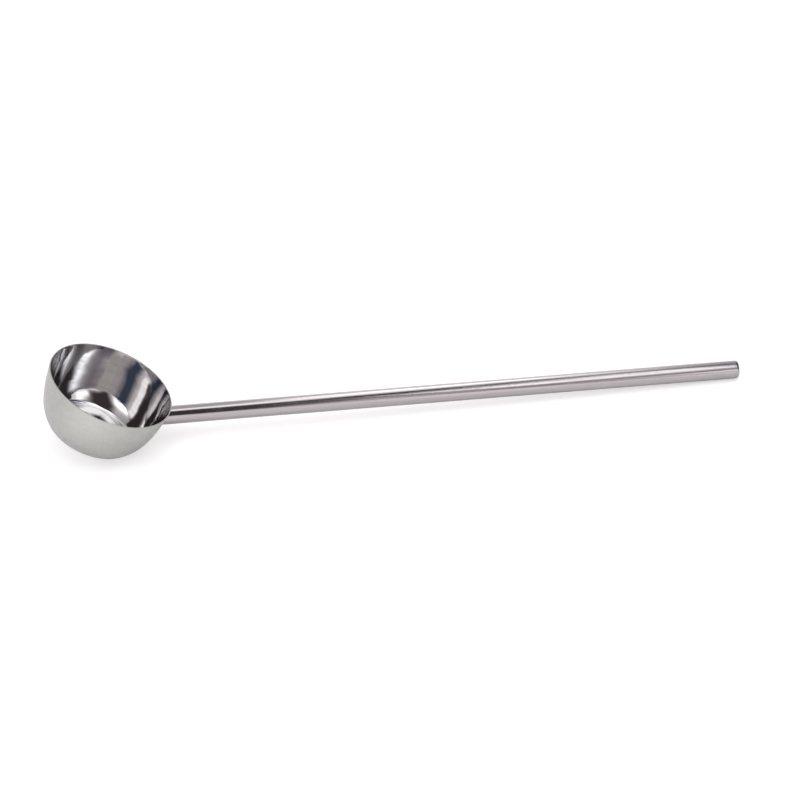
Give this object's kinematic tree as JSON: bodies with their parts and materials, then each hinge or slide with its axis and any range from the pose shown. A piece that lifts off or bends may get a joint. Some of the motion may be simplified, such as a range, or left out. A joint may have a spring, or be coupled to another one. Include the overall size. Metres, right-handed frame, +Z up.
{
  "type": "water dipper",
  "caption": "Stainless water dipper: a drawn round bowl, mirror-polished inside and satin outside, with a straight pipe handle welded to its side and closed by a rounded plug.",
  "frame": {"origin": "on the table, under the middle of the dipper's whole length, as it lies on the bowl's heel and the handle's tip", "axes": "+X along the dipper from the bowl to the handle's tip, +Y across the bowl, +Z up from the table"},
  "size_m": [0.4986, 0.0908, 0.0682],
  "materials": {
    "bowl": "satin outside, mirror polished inside",
    "handle": "polished lengthwise",
    "weld": "dressed weld bead",
    "cap": "polished"
  },
  "bodies": {
    "root": {"bowl": "bowl", "handle_tube": "handle", "root_weld": "weld", "end_cap": "cap"}
  },
  "joints": []
}
